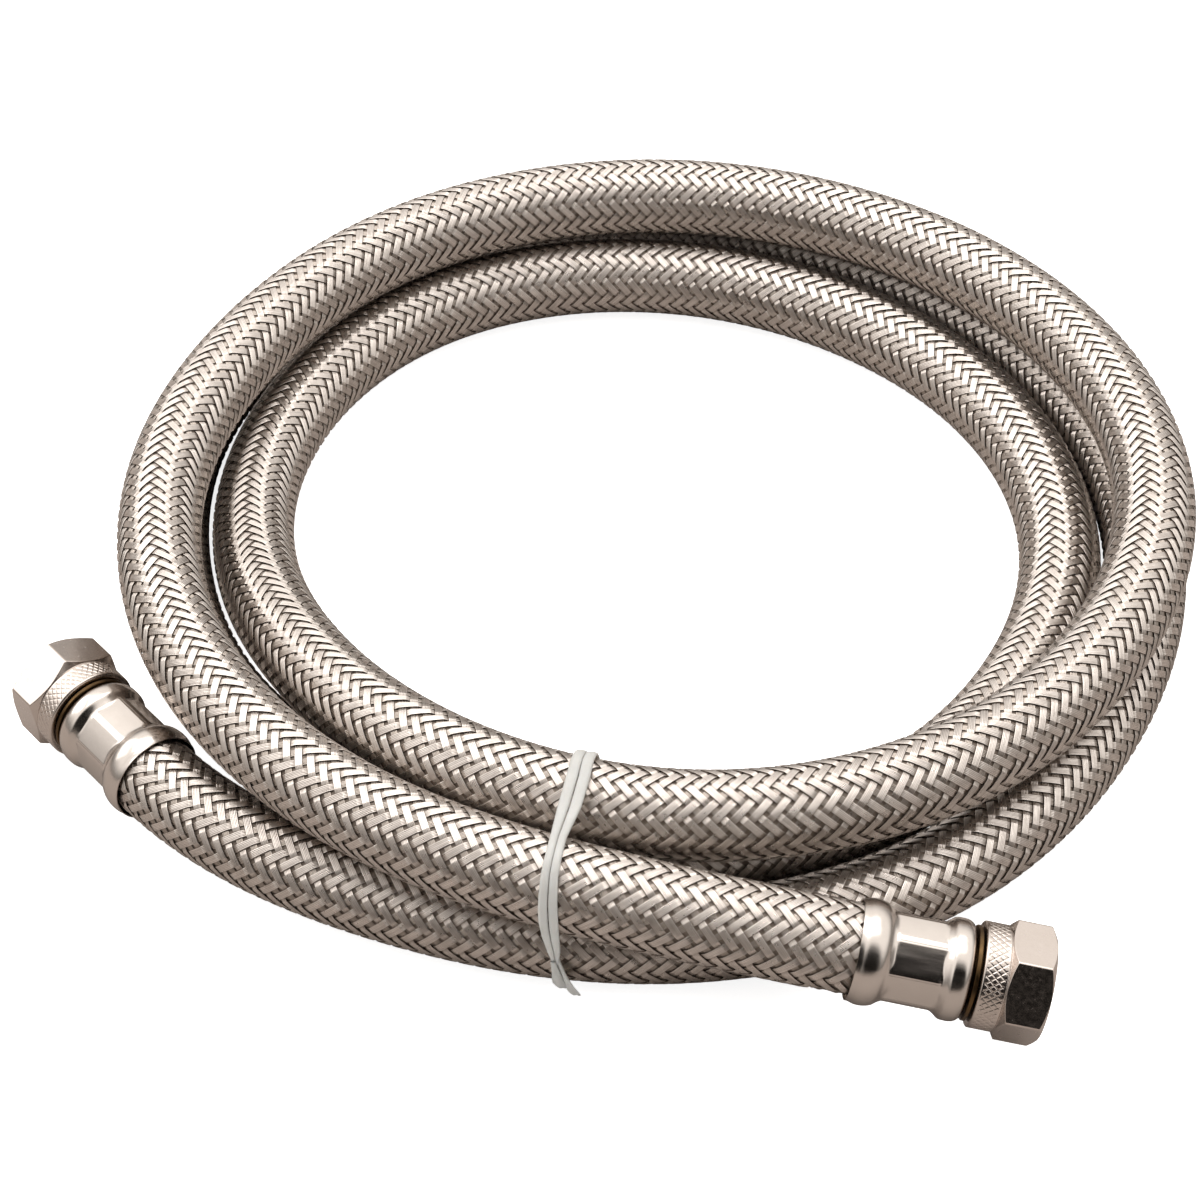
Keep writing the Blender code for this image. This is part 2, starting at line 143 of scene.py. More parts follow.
# Stage: lights as (place in m, size in m, power in W), and the sky from the horizon to overhead
SOFTBOX = ((-0.02, 0.2, 1.08), (1.1, 0.86), 6.0)
SIDE_SOFTBOX = ((-0.93, 0.42, 0.74), (0.9, 0.7), 3.1)
SKY_LOW = (0.30, 0.285, 0.27, 1.0)
SKY_HIGH = (1.55, 1.52, 1.48, 1.0)
SKY_RISE = (0.05, 0.62)  # heights of the direction between which the sky brightens
ROOM_DARK = (0.012, 0.011, 0.010, 1.0)
ROOM_ELEVATION = 28.0  # degrees up, in front, where the dark of the room is centred
ROOM_REACH = (44.0, 25.0)  # degrees from there to the dark's edge and to full dark
WHITE = (1.0, 1.0, 1.0, 1.0)
FLOOR_SIZE = 6.0
FLOOR_COLOUR = (0.93, 0.925, 0.92, 1.0)
FLOOR_IN_METAL = (0.40, 0.36, 0.335, 1.0)  # the table's colour in the metal's reflections
FLOOR_GLOW = 0.85  # how far the table under the object is blown out to white

SEED = 7
rng = np.random.default_rng(SEED)


# ---------------------------------------------------------------- the hose's route


def coil_points(angles):
    """Centreline points in mm at angles counted on through the laps."""
    rows = np.array([row for lap in COIL_LAPS for row in lap])
    place = (np.asarray(angles, float) - FIRST_ANGLE) / ANGLE_STEP
    first = np.clip(place.astype(int), 1, len(rows) - 3)
    t = place - first
    weights = (
        (1 - t) ** 3 / 6,
        (3 * t**3 - 6 * t**2 + 4) / 6,
        (-3 * t**3 + 3 * t**2 + 3 * t + 1) / 6,
        t**3 / 6,
    )
    polar = sum(w[:, None] * rows[first - 1 + k] for k, w in enumerate(weights))
    turn = np.radians(angles)
    x = COIL_CENTRE[0] + polar[:, 0] * np.cos(turn)
    y = COIL_CENTRE[1] + polar[:, 0] * np.sin(turn)
    return np.stack([x, y, polar[:, 1]], axis=1)


def unit(v):
    return v / np.linalg.norm(v, axis=-1, keepdims=True)


def fitting_axes(angle, sign):
    """Origin and the three axes of a fitting, whose Z runs from its ferrule's mouth outwards."""
    origin, ahead = coil_points(np.array([angle, angle + sign * 0.5]))
    axis = unit(ahead - origin)
    side = unit(np.cross(axis, (0.0, 0.0, 1.0)))
    return origin, side, np.cross(side, axis), axis


def fitting_matrix(angle, sign):
    origin, side, up, axis = fitting_axes(angle, sign)
    matrix = Matrix((side, up, axis)).transposed().to_4x4()
    matrix.translation = Vector(origin * MM)
    return matrix


class Route:
    """The hose's centreline by arc length, run on straight into both ferrules."""

    def __init__(self, reach):
        start, _, _, start_axis = fitting_axes(START_ANGLE, -1)
        end, _, _, end_axis = fitting_axes(END_ANGLE, 1)
        middle = coil_points(np.linspace(START_ANGLE, END_ANGLE, ROUTE_SAMPLES))
        lead = np.linspace(reach, 0.2, 12)[:, None]
        points = np.concatenate([start + start_axis * lead, middle, end + end_axis * lead[::-1]])
        steps = np.linalg.norm(np.diff(points, axis=0), axis=1)
        self.points = points
        self.along = np.concatenate([[0.0], np.cumsum(steps)])
        self.length = self.along[-1]
        tangent = unit(np.gradient(points, self.along, axis=0))
        self.tangent = tangent

    def at(self, along):
        """Points, and the tangent, side and up directions there."""
        point = np.stack([np.interp(along, self.along, self.points[:, k]) for k in range(3)], 1)
        tangent = unit(
            np.stack([np.interp(along, self.along, self.tangent[:, k]) for k in range(3)], 1)
        )
        side = unit(np.cross(tangent, (0.0, 0.0, 1.0)))
        return point, tangent, side, np.cross(side, tangent)


# ---------------------------------------------------------------- mesh helpers


def signed_volume(points, quads):
    a, b, c, d = (points[quads[:, k]] for k in range(4))
    first = np.einsum("ij,ij->i", a, np.cross(b, c)).sum()
    second = np.einsum("ij,ij->i", a, np.cross(c, d)).sum()
    return first + second


def quad_mesh(name, points, quads):
    """A smooth mesh from points in metres and quads, wound so that a closed one faces out."""
    if signed_volume(points, quads) < 0:
        quads = quads[:, ::-1]
    mesh = bpy.data.meshes.new(name)
    mesh.vertices.add(len(points))
    mesh.vertices.foreach_set("co", np.ascontiguousarray(points, np.float32).ravel())
    mesh.loops.add(quads.size)
    mesh.loops.foreach_set("vertex_index", np.ascontiguousarray(quads, np.int32).ravel())
    mesh.polygons.add(len(quads))
    mesh.polygons.foreach_set("loop_start", np.arange(0, quads.size, 4, dtype=np.int32))
    mesh.polygons.foreach_set("use_smooth", np.ones(len(quads), bool))
    mesh.update(calc_edges=True)
    obj = bpy.data.objects.new(name, mesh)
    bpy.context.scene.collection.objects.link(obj)
    return obj


def grid_quads(rows, columns, closed_rows=False, closed_columns=True):
    """Quads of a grid of points numbered row by row."""
    row = np.arange(rows if closed_rows else rows - 1)
    column = np.arange(columns if closed_columns else columns - 1)
    a, b = np.meshgrid(row, column, indexing="ij")
    a2, b2 = (a + 1) % rows, (b + 1) % columns
    corners = (a * columns + b, a * columns + b2, a2 * columns + b2, a2 * columns + b)
    return np.stack([c.ravel() for c in corners], axis=1)


def smooth_noise(along, scale, amplitude):
    """A seeded slow wander: a few sines of random phase and length."""
    total = np.zeros_like(along)
    for octave in range(3):
        wave = scale / (1.0 + 0.8 * octave + 0.3 * rng.random())
        total += np.sin(along * 2 * math.pi / wave + rng.random() * 2 * math.pi) / (1 + octave)
    return total * amplitude / 1.8


# ---------------------------------------------------------------- braid


def band_profile():
    """Across one band: the wires' ridges and valleys, then the underside, as (across, height)."""
    half = WIRES * WIRE_PITCH / 2
    points = []
    for index in range(2 * WIRES + 1):
        across = -half + index * WIRE_PITCH / 2
        if index in (0, 2 * WIRES):
            height = -1.4 * WIRE_RIDGE
        else:
            height = WIRE_RIDGE if index % 2 else -WIRE_RIDGE
        points.append((across, height))
    points.append((half - 0.12, -BAND_THICKNESS))
    points.append((-half + 0.12, -BAND_THICKNESS))
    return np.array(points)


def weave_stations(length, offset, direction):
    """Where along the hose a band has its stations, and its height on the weave there."""
    per_mm = 2 * STRANDS / BRAID_LEAD
    periods = np.arange(-int(length * per_mm / 4) - 4, int(length * per_mm / 4) + 4)
    crossing = (4 * periods[:, None] + np.array(WEAVE)[None, :, 0]).ravel()
    height = np.tile(np.array(WEAVE)[:, 1], len(periods))
    along = direction * (crossing - offset) / per_mm
    order = np.argsort(along)
    along, height = along[order], height[order] * direction
    inside = (along > 0.02) & (along < length - 0.02)
    ends = np.interp((0.0, length), along, height)
    along = np.concatenate([[0.0], along[inside], [length]])
    return along, np.concatenate([ends[:1], height[inside], ends[1:]])


def band_points(route, index, direction):
    """One band as (stations, profile points, 3) in mm, its weave height, and painted groove shade.
    """
    along, height = weave_stations(route.length, 2 * index, direction)
    angle = math.atan2(2 * math.pi * BRAID_MEAN_RADIUS, BRAID_LEAD)
    profile = band_profile()
    across = np.tile(profile[:, 0], (len(along), 1))
    lift = np.tile(profile[:, 1], (len(along), 1))
    for wire in range(WIRES):
        wander = smooth_noise(along, 23.0, 0.035)
        rise = smooth_noise(along, 17.0, 0.022)
        for offset in (0, 1, 2):
            share = 1.0 if offset == 1 else 0.5
            across[:, 2 * wire + offset] += share * wander
            lift[:, 2 * wire + offset] += share * rise
    sway = smooth_noise(along, 41.0, 0.07)[:, None]
    across = across + sway
    turn = direction * 2 * math.pi * along / BRAID_LEAD + 2 * math.pi * index / STRANDS
    turn = turn[:, None] + across * math.cos(angle) / BRAID_MEAN_RADIUS
    shift = -direction * across * math.sin(angle)
    radius = BRAID_MEAN_RADIUS + BRAID_WAVE * height[:, None] + lift
    point, tangent, side, up = (v[:, None, :] for v in route.at(along))
    normal = np.cos(turn)[..., None] * side + np.sin(turn)[..., None] * up
    points = point + shift[..., None] * tangent + radius[..., None] * normal
    # Colour share at each profile point: each wire's ridge has its own tone that wanders at
    # random. The valleys between wires, the band's edges and its underside get a low share, as
    # painted shade in the grooves.
    tone_and_groove_shade = np.full(across.shape, 0.48)
    for wire in range(WIRES):
        tone_and_groove_shade[:, 2 * wire + 1] = 0.84 + smooth_noise(along, 9.0, 0.22) + 0.12 * rng.random()
    return points, np.broadcast_to(height[:, None], across.shape), tone_and_groove_shade


def mark_sharp(obj, sharp, heights):
    """Marks the edges along the profile points in sharp, and those where a band starts to dive."""
    mesh = obj.data
    count = len(band_profile())
    ends = np.empty(len(mesh.edges) * 2, np.int32)
    mesh.edges.foreach_get("vertices", ends)
    ends = ends.reshape(-1, 2)
    column = ends % count
    row = ends // count
    lengthwise = (column[:, 0] == column[:, 1]) & np.isin(column[:, 0], sharp)
    diving = np.abs(np.abs(heights[ends[:, 0]]) - DIVE_HEIGHT) < 0.01
    flags = lengthwise | ((row[:, 0] == row[:, 1]) & diving)
    attribute = mesh.attributes.new("sharp_edge", "BOOLEAN", "EDGE")
    attribute.data.foreach_set("value", flags)


def braid_piece(route, index):
    """A right-hand and a left-hand band, as one piece."""
    all_points = []
    all_quads = []
    all_heights = []
    all_tones_and_groove_shade = []
    start = 0
    for direction in (1, -1):
        points, heights, tones_and_groove_shade = band_points(route, index, direction)
        stations, count, _ = points.shape
        quads = grid_quads(stations, count)
        flat = points.reshape(-1, 3) * MM
        if signed_volume(flat, quads) < 0:
            quads = quads[:, ::-1]
        all_points.append(flat)
        all_quads.append(quads + start)
        all_heights.append(heights.ravel())
        all_tones_and_groove_shade.append(tones_and_groove_shade.ravel())
        start += len(flat)
    points = np.concatenate(all_points)
    obj = quad_mesh(f"braid_strand_{index + 1:02d}", points, np.concatenate(all_quads))
    heights = np.concatenate(all_heights).astype(np.float32)
    raised = obj.data.attributes.new("weave_height", "FLOAT", "POINT")
    raised.data.foreach_set("value", heights * 0.5 + 0.5)
    tone_and_shade_attribute = obj.data.attributes.new("wire_tone_and_groove_shade", "FLOAT", "POINT")
    tone_and_shade_attribute.data.foreach_set("value", np.concatenate(all_tones_and_groove_shade).astype(np.float32))
    valleys = list(range(0, 2 * WIRES + 1, 2)) + [2 * WIRES + 1, 2 * WIRES + 2]
    mark_sharp(obj, valleys, heights)
    return obj


def liner_piece(route):
    """The rubber tube under the braid, closed at both ends inside the ferrules."""
    along = np.linspace(0.0, route.length, int(route.length / LINER_STEP))
    point, _, side, up = (v[:, None, :] for v in route.at(along))
    turn = np.linspace(0, 2 * math.pi, LINER_SIDES, endpoint=False)[None, :, None]
    ring = point + LINER_RADIUS * (np.cos(turn) * side + np.sin(turn) * up)
    inner = point + (LINER_RADIUS - 2.0) * (np.cos(turn) * side + np.sin(turn) * up)
    rows = np.concatenate([ring, inner[::-1]])
    quads = grid_quads(len(rows), LINER_SIDES, closed_rows=True)
    return quad_mesh("hose_core", rows.reshape(-1, 3) * MM, quads)


# ---------------------------------------------------------------- turned pieces


def turned(name, radius, station, closed=True, sharp_angle=34.0):
    """A grid of radii and stations in mm turned about Z; the last index is the angle."""
    count = radius.shape[1]
    turn = np.linspace(0, 2 * math.pi, count, endpoint=False)[None, :]
    points = np.stack([radius * np.cos(turn), radius * np.sin(turn), station], axis=-1)
    quads = grid_quads(radius.shape[0], count, closed_rows=closed)
    obj = quad_mesh(name, points.reshape(-1, 3) * MM, quads)
    obj.data.set_sharp_from_angle(angle=math.radians(sharp_angle))
    return obj


def rows_of(profile, count):
    """Profile points as rows of radius and station, the same all round."""
    radius = np.tile([[p[0]] for p in profile], (1, count)).astype(float)
    station = np.tile([[p[1]] for p in profile], (1, count)).astype(float)
    return radius, station


def smooth_profile(knots, spacing=0.25):
    """Points along a smooth curve through the knots, which are (radius, station)."""
    knots = np.array(knots, float)
    steps = np.linalg.norm(np.diff(knots, axis=0), axis=1)
    place = np.concatenate([[0], np.cumsum(steps)])
    tangents = np.gradient(knots, place, axis=0)
    found = []
    for i, step in enumerate(steps):
        t = np.linspace(0, 1, max(2, int(step / spacing) + 1))[:-1, None]
        found.append(
            (2 * t**3 - 3 * t**2 + 1) * knots[i]
            + (t**3 - 2 * t**2 + t) * step * tangents[i]
            + (-2 * t**3 + 3 * t**2) * knots[i + 1]
            + (t**3 - t**2) * step * tangents[i + 1]
        )
    found.append(knots[-1:])
    return np.concatenate(found)


def smooth_step(x):
    x = np.clip(x, 0.0, 1.0)
    return x * x * (3 - 2 * x)


def ferrule(name, seed):
    """Crimped sleeve: two rolled bulges with a waist pressed into flats between them."""
    local = np.random.default_rng(seed)
    count = 400
    b, n, m = FERRULE_BULGE_RADIUS, FERRULE_NOSE_RADIUS, FERRULE_MOUTH_RADIUS
    outer = smooth_profile(
        (
            (m, 0.0), (m + 0.02, 0.5), (b - 0.1, 1.2), (b, 2.2), (b - 0.08, 3.1), (b - 0.45, 4.2),
            (b - 1.05, 5.0), (7.15, 5.8), (7.05, 6.6), (7.05, 8.6), (7.05, 10.6), (7.05, 12.6),
            (7.15, 13.4), (7.55, 14.1), (n - 0.1, 14.8), (n, 15.7), (n, 16.3), (n - 0.16, 17.1),
            (n - 0.55, 17.7), (n - 1.1, 18.0),
        )
    )
    outer = np.concatenate([outer, [(FERRULE_HOLE_RADIUS, FERRULE_LENGTH)]])
    inner = np.array(
        [
            (FERRULE_HOLE_RADIUS, FERRULE_LENGTH - 0.5), (n - 1.3, FERRULE_LENGTH - 0.5),
            (n - 0.5, WAIST_END + 2.2), (6.45, WAIST_END - 0.1), (6.45, WAIST_START + 0.3),
            (b - 0.45, 3.0), (b - 0.45, 1.4), (m - 0.3, 0.12), (m - 0.22, 0.0), (m - 0.1, -0.05),
        ]
    )
    radius, station = rows_of(np.concatenate([outer, inner]), count)
    turn = np.linspace(0, 2 * math.pi, count, endpoint=False)[None, :]
    half_step = math.pi / WAIST_FLATS
    wobble = local.normal(0, 0.035, WAIST_FLATS)
    sector = np.floor((turn + half_step) / (2 * half_step)).astype(int) % WAIST_FLATS
    offset = (turn + half_step) % (2 * half_step) - half_step
    flat = (WAIST_RADIUS - 0.06 + wobble[sector]) / np.cos(offset)
    corner = WAIST_RADIUS + 0.30
    facets = np.minimum(flat, corner - 0.25 * (half_step - np.abs(offset)) ** 2)
    facets = facets + WAIST_CROWN * (1 - (offset / half_step) ** 2)
    seam = np.exp(-(((half_step - np.abs(offset)) / math.radians(1.1)) ** 2))
    facets = facets + 0.085 * seam * (0.75 + 0.25 * np.sin(9 * station + 3 * sector))
    ragged = 0.12 * np.sin(5 * turn + local.random() * 6) + 0.08 * np.sin(11 * turn + 1.3)
    enter = smooth_step((station - (WAIST_START - 0.35 + ragged)) / 0.55)
    leave = smooth_step(((WAIST_END + 0.35 + ragged) - station) / 0.55)
    share = enter * leave
    outside = np.arange(len(radius))[:, None] < len(outer)
    radius = np.where(outside, radius + (facets - radius) * share, radius)
    return turned(name, radius, station, sharp_angle=50.0)


def hexagon(turn):
    """Distance from the axis to a round-cornered hexagon's side, with a flat at 0 degrees."""
    offset = (turn + math.pi / 6) % (math.pi / 3) - math.pi / 6
    flat = ACROSS_FLATS / 2 / np.cos(offset)
    from_corner = math.pi / 6 - np.abs(offset)
    centre = (ACROSS_FLATS / 2 - HEX_CORNER) / math.cos(math.pi / 6)
    inside = np.maximum(HEX_CORNER**2 - (centre * np.sin(from_corner)) ** 2, 0.0)
    corner = centre * np.cos(from_corner) + np.sqrt(inside)
    tangent = HEX_CORNER * math.tan(math.pi / 6)
    near = from_corner < math.atan2(tangent * math.cos(math.pi / 6), centre)
    return np.where(near, np.minimum(flat, corner), flat)


def knurl(turn, station):
    """Depth of the crossed V-grooves on the nut's skirt."""
    pitch = 2 * math.pi * SKIRT_RADIUS / KNURL_LINES
    depth = np.zeros(np.broadcast(turn, station).shape)
    for sign in (1, -1):
        place = turn * SKIRT_RADIUS + sign * station * math.tan(math.radians(KNURL_TILT))
        distance = np.abs((place + pitch / 2) % pitch - pitch / 2)
        distance = distance * math.cos(math.radians(KNURL_TILT))
        depth = np.maximum(depth, np.clip(1 - distance / KNURL_WIDTH, 0, 1))
    fade = smooth_step((station - NUT_START - 0.35) / 0.3)
    fade = fade * smooth_step((SKIRT_END - 0.25 - station) / 0.3)
    return KNURL_DEPTH * depth * fade


def hex_end(face, hexa, end, outward):
    """Rows from a flat of the hexagon over its rounded edge and up its chamfer to an end."""
    slope = math.hypot(1.0, NUT_CHAMFER_SLOPE)
    long = (hexa - face) * slope
    round_off = np.minimum(EDGE_ROUND, 0.45 * long)
    top = end - outward * 0.05
    edge = top - outward * NUT_CHAMFER_SLOPE * (hexa - face)
    inward = round_off / slope
    rise = outward * NUT_CHAMFER_SLOPE * inward
    return [
        (hexa, edge - outward * round_off * 1.6),
        (hexa, edge - outward * round_off),
        (hexa - 0.12 * inward, edge - outward * 0.38 * round_off),
        (hexa - 0.48 * inward, edge + 0.30 * rise),
        (hexa - inward, edge + rise),
        (hexa - np.minimum(1.6 * inward, hexa - face), edge + 1.6 * rise),
        (face + 0.02, top - outward * NUT_CHAMFER_SLOPE * 0.02),
        (face - 0.05, top + outward * 0.03),
    ]


def swivel_nut(name):
    count = 900
    turn = np.linspace(0, 2 * math.pi, count, endpoint=False)
    hexa = hexagon(turn)
    face = NUT_FACE_RADIUS
    radii = []
    stations = []

    def add(radius, station):
        radii.append(np.broadcast_to(np.asarray(radius, float), (count,)))
        stations.append(np.broadcast_to(np.asarray(station, float), (count,)))

    add(NUT_HOLE_RADIUS, NUT_START)
    add(SKIRT_RADIUS - 0.40, NUT_START)
    add(SKIRT_RADIUS - 0.16, NUT_START + 0.05)
    add(SKIRT_RADIUS - 0.04, NUT_START + 0.16)
    for station in np.arange(NUT_START + 0.3, SKIRT_END - 0.1, 0.1):
        add(SKIRT_RADIUS - knurl(turn, station), station)
    add(SKIRT_RADIUS - 0.02, SKIRT_END - 0.06)
    add(SKIRT_RADIUS - 0.10, SKIRT_END + 0.04)
    for radius, station in reversed(hex_end(face, hexa, SKIRT_END + 0.1, -1)):
        add(radius, station)
    add(hexa, (SKIRT_END + NUT_END) / 2)
    for radius, station in hex_end(face, hexa, NUT_END, 1):
        add(radius, station)
    add(face - 0.25, NUT_END)
    add(SOCKET_RADIUS + 0.45, NUT_END)
    add(SOCKET_RADIUS + 0.36, NUT_END - 0.03)
    add(SOCKET_RADIUS + 0.1, NUT_END - 0.35)
    for station in np.arange(NUT_END - 0.45, NUT_WALL_END + 1.6, -0.19):
        phase = (station / THREAD_PITCH - turn / (2 * math.pi)) % 1.0
        crest = 1 - np.abs(2 * phase - 1)
        ends = min(1.0, (NUT_END - 0.3 - station) / 0.8, (station - NUT_WALL_END - 1.5) / 0.5)
        add(SOCKET_RADIUS + 0.1 - THREAD_DEPTH * crest * max(ends, 0.0), station)
    add(SOCKET_RADIUS + 0.1, NUT_WALL_END + 1.4)
    add(SOCKET_RADIUS + 0.1, NUT_WALL_END)
    add(NUT_HOLE_RADIUS, NUT_WALL_END)
    return turned(name, np.array(radii), np.array(stations), sharp_angle=50.0)


def stem(name):
    profile = [
        (STEM_BORE_RADIUS, 2.0), (3.6, 2.0), (3.6, 16.6), (NECK_RADIUS, 16.9),
        (NECK_RADIUS, COLLAR_START), (COLLAR_RADIUS - 0.12, COLLAR_START),
        (COLLAR_RADIUS, COLLAR_START + 0.12), (COLLAR_RADIUS, COLLAR_END - 0.12),
        (COLLAR_RADIUS - 0.12, COLLAR_END), (NECK_RADIUS, COLLAR_END),
        (NECK_RADIUS, HEAD_START), (HEAD_RADIUS, HEAD_START), (HEAD_RADIUS, HEAD_END - 0.4),
        (HEAD_RADIUS - 0.5, HEAD_END), (STEM_BORE_RADIUS + 0.2, HEAD_END),
        (STEM_BORE_RADIUS, HEAD_END - 0.2),
    ]
    return turned(name, *rows_of(profile, 96))


def seal(name):
    profile = [
        (3.2, 23.8), (6.3, 23.8), (6.4, 23.9), (6.4, 24.45), (6.25, 24.6), (4.8, 25.55),
        (4.55, 25.7), (3.4, 25.7), (3.2, 25.5),
    ]
    return turned(name, *rows_of(profile, 96))


# ---------------------------------------------------------------- tie


def tie_frame():
    """Origin and axes of the tie's plane: outwards, up and along the hose."""
    turn = math.radians(TIE_ANGLE)
    outward = np.array([math.cos(turn), math.sin(turn), 0.0])
    up = np.array([0.0, 0.0, 1.0])
    return np.array([*COIL_CENTRE, 0.0]), outward, up, np.cross(outward, up)


def strand_centres():
    origin, outward, _, _ = tie_frame()
    points = coil_points(TIE_ANGLE + 360.0 * np.arange(len(COIL_LAPS)))
    return np.stack([(points - origin) @ outward, points[:, 2]], axis=1)


def wrap_path(distance, count):
    """Closed path drawn tight round the strands, evenly spaced, as (outwards, up) in mm."""
    centres = strand_centres()
    turn = np.linspace(0, 2 * math.pi, 720, endpoint=False)
    direction = np.stack([np.cos(turn), np.sin(turn)], axis=1)
    outermost = centres[np.argmax(direction @ centres.T, axis=1)]
    outline = outermost + distance * direction
    outline = np.concatenate([outline, outline[:1]])
    along = np.concatenate([[0], np.cumsum(np.linalg.norm(np.diff(outline, axis=0), axis=1))])
    place = np.linspace(0, along[-1], count, endpoint=False)
    return np.stack([np.interp(place, along, outline[:, k]) for k in range(2)], axis=1)


def tie_lean(path):
    """The strips' middle line and half their joint width, in mm, at places on the path."""
    rows = np.array(TIE_ROWS)
    centre = strand_centres().mean(axis=0)
    turn = np.degrees(np.arctan2(path[:, 1] - centre[1], path[:, 0] - centre[0]))
    turn = (turn - TIE_PINCH) % 360.0
    return np.interp(turn, rows[:, 0], rows[:, 1]), np.interp(turn, rows[:, 0], rows[:, 2])


def strip_section(half):
    """Rounded cross-section of one strip, for each half width: (across, outwards) in mm."""
    shape = np.array(
        [
            (-1.0, 0.14), (-0.99, 0.30), (-0.84, 0.50), (-0.45, 0.60), (0.0, 0.62), (0.45, 0.60),
            (0.84, 0.50), (0.99, 0.30), (1.0, 0.14), (0.8, 0.0), (-0.8, 0.0),
        ]
    )
    return half[:, None] * shape[None, :, 0], np.tile(shape[:, 1], (len(half), 1))


def tie_strip(side, seed):
    """Points of one closed strip round the bundle."""
    local = np.random.default_rng(seed)
    count = TIE_STATIONS
    path = wrap_path(HOSE_DIAMETER / 2 + 0.1, count)
    origin, outward, up, along = tie_frame()
    ahead = unit(np.roll(path, -1, axis=0) - np.roll(path, 1, axis=0))
    out2 = np.stack([ahead[:, 1], -ahead[:, 0]], axis=1)
    middle, half = tie_lean(path)
    across, depth = strip_section(half / 2 - 0.03)
    turn = np.linspace(0, 2 * math.pi, count, endpoint=False)
    sway = 0.05 * np.sin(5 * turn + local.random() * 6)
    across = across + (middle + side * half / 2 + sway)[:, None]
    depth = depth + (0.06 * np.sin(7 * turn + local.random() * 6))[:, None] + 0.06
    flat = path[:, None, :] + depth[..., None] * out2[:, None, :]
    return (
        origin
        + flat[..., 0:1] * outward
        + flat[..., 1:2] * up
        + across[..., None] * along
    )


def tie_tail(side):
    """One of the two ends below the pinch, side by side and flaring to a ruffled tip."""
    path = wrap_path(HOSE_DIAMETER / 2 + 0.5, 720)
    centre = strand_centres().mean(axis=0)
    turn = np.degrees(np.arctan2(path[:, 1] - centre[1], path[:, 0] - centre[0]))
    foot = path[np.argmin(np.abs((turn - TIE_PINCH + 180.0) % 360.0 - 180.0))]
    origin, outward, up, along = tie_frame()
    length = TAIL_LENGTHS[side]
    rows = []
    for t in np.linspace(0, 1, TAIL_STATIONS):
        middle = TAIL_START + (TAIL_END - TAIL_START) * t**1.2 + side * (0.30 + 0.85 * t**1.2)
        wide = 0.40 + 0.98 * t**1.1
        wide = wide * math.sqrt(max(1 - (max(t - 0.9, 0.0) / 0.105) ** 2, 0.02))
        thick = 0.34 - 0.10 * t
        centre = (
            origin
            + outward * (foot[0] + 0.15 + 0.35 * math.sin(3.0 * t + side))
            + up * (foot[1] + 0.8 - length * t)
            + along * middle
        )
        twist = side * (0.40 + 0.35 * math.sin(4.5 * t)) - 0.3 * t
        ring = []
        for angle in np.linspace(0, 2 * math.pi, 14, endpoint=False):
            a = wide * math.cos(angle)
            b = thick * math.sin(angle) + 0.18 * t * math.sin(2.2 * angle + 6 * t)
            ring.append(
                centre
                + along * (a * math.cos(twist) - b * math.sin(twist))
                + outward * (a * math.sin(twist) + b * math.cos(twist)) * 0.8
            )
        rows.append(ring)
    return np.array(rows)


def tie_piece():
    points = []
    quads = []
    start = 0
    grids = [(tie_strip(1, 3), True), (tie_strip(-1, 4), True)]
    grids += [(tie_tail(1), False), (tie_tail(-1), False)]
    for grid, closed in grids:
        rows, columns, _ = grid.shape
        faces = grid_quads(rows, columns, closed_rows=closed)
        flat = grid.reshape(-1, 3) * MM
        if signed_volume(flat - flat.mean(axis=0), faces) < 0:
            faces = faces[:, ::-1]
        points.append(flat)
        quads.append(faces + start)
        start += len(flat)
    obj = quad_mesh("tie_wrap", np.concatenate(points), np.concatenate(quads))
    obj.data.set_sharp_from_angle(angle=math.radians(60))
    return obj


# ---------------------------------------------------------------- materials


class Nodes:
    """Short hand for building one material's node tree."""

    def __init__(self, name):
        self.material = bpy.data.materials.new(name)
        self.material.use_nodes = True
        self.tree = self.material.node_tree
        self.shader = self.tree.nodes["Principled BSDF"]

    def add(self, kind, **settings):
        node = self.tree.nodes.new("ShaderNode" + kind)
        for key, value in settings.items():
            setattr(node, key, value)
        return node

    def link(self, a, b):
        self.tree.links.new(a, b)

    def place(self):
        return self.add("TexCoord").outputs["Object"]

    def noise(self, scale, detail=3.0, stretch=None):
        """Noise over the object's own coordinates, stretched along its axes if asked."""
        node = self.add("TexNoise")
        node.inputs["Scale"].default_value = scale
        node.inputs["Detail"].default_value = detail
        source = self.place()
        if stretch is not None:
            mapping = self.add("Mapping")
            mapping.inputs["Scale"].default_value = stretch
            self.link(source, mapping.inputs["Vector"])
            source = mapping.outputs["Vector"]
        self.link(source, node.inputs["Vector"])
        return node.outputs["Fac"]

    def spread(self, value, low, high, from_low=0.3, from_high=0.7):
        """The value's range from_low to from_high, taken to low to high."""
        node = self.add("MapRange")
        node.inputs["From Min"].default_value = from_low
        node.inputs["From Max"].default_value = from_high
        node.inputs["To Min"].default_value = low
        node.inputs["To Max"].default_value = high
        self.link(value, node.inputs["Value"])
        return node.outputs["Result"]

    def mix(self, factor, a, b):
        """From a to b, each a colour or a socket."""
        node = self.add("Mix", data_type="RGBA")
        self.link(factor, node.inputs["Factor"])
        for socket, colour in ((node.inputs[6], a), (node.inputs[7], b)):
            if isinstance(colour, tuple):
                socket.default_value = (*colour, 1.0)
            else:
                self.link(colour, socket)
        return node.outputs[2]

    def bump(self, height, strength, distance):
        node = self.add("Bump")
        node.inputs["Strength"].default_value = strength
        node.inputs["Distance"].default_value = distance
        self.link(height, node.inputs["Height"])
        return node.outputs["Normal"]

    def feed(self, name, value):
        """Sets a shader input to a number, or links it to a socket."""
        if isinstance(value, (int, float)):
            self.shader.inputs[name].default_value = value
        else:
            self.link(value, self.shader.inputs[name])


